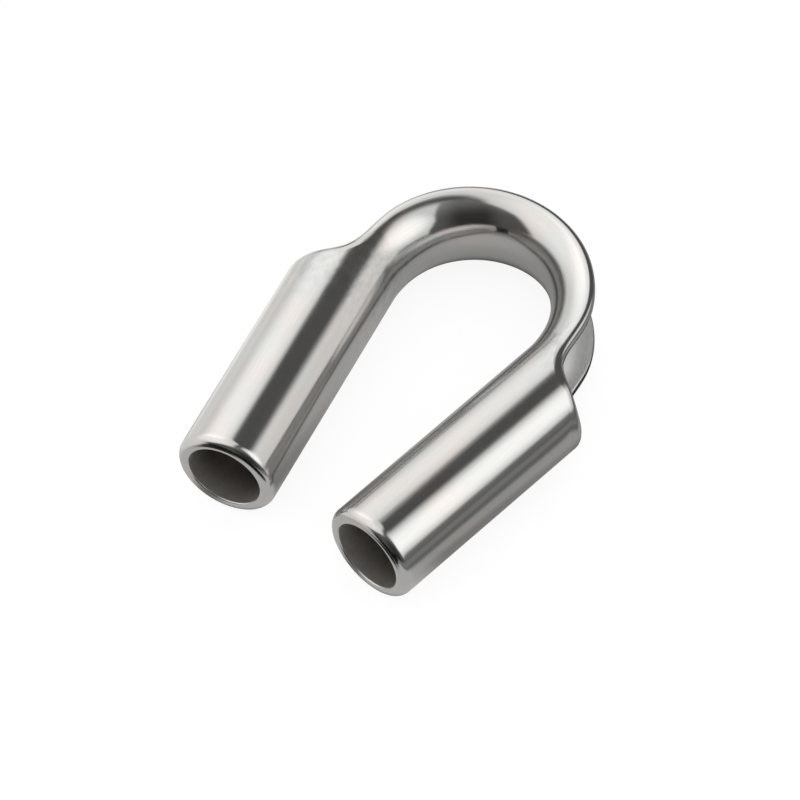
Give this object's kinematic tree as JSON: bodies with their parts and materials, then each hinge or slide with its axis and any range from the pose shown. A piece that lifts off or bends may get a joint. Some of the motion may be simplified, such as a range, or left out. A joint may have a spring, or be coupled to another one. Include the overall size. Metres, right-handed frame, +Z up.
{
  "type": "tube thimble",
  "caption": "Tube thimble: straight leg tubes joined by an open half-pipe crown that guides a rope round a bolt or shackle pin.",
  "frame": {"origin": "centre of the crown arc, on the thimble's mid plane", "axes": "+Y from the crown arc's centre to the crown's apex, the legs run towards -Y; +X to the right leg; +Z up through the eye, with the thimble lying flat"},
  "size_m": [0.0576, 0.0708, 0.0172],
  "materials": {
    "polished_stainless": "mirror polished outside, duller inside the bore and the channel"
  },
  "bodies": {
    "root": {"crown_channel": "polished_stainless", "right_leg_tube": "polished_stainless", "left_leg_tube": "polished_stainless"}
  },
  "joints": []
}
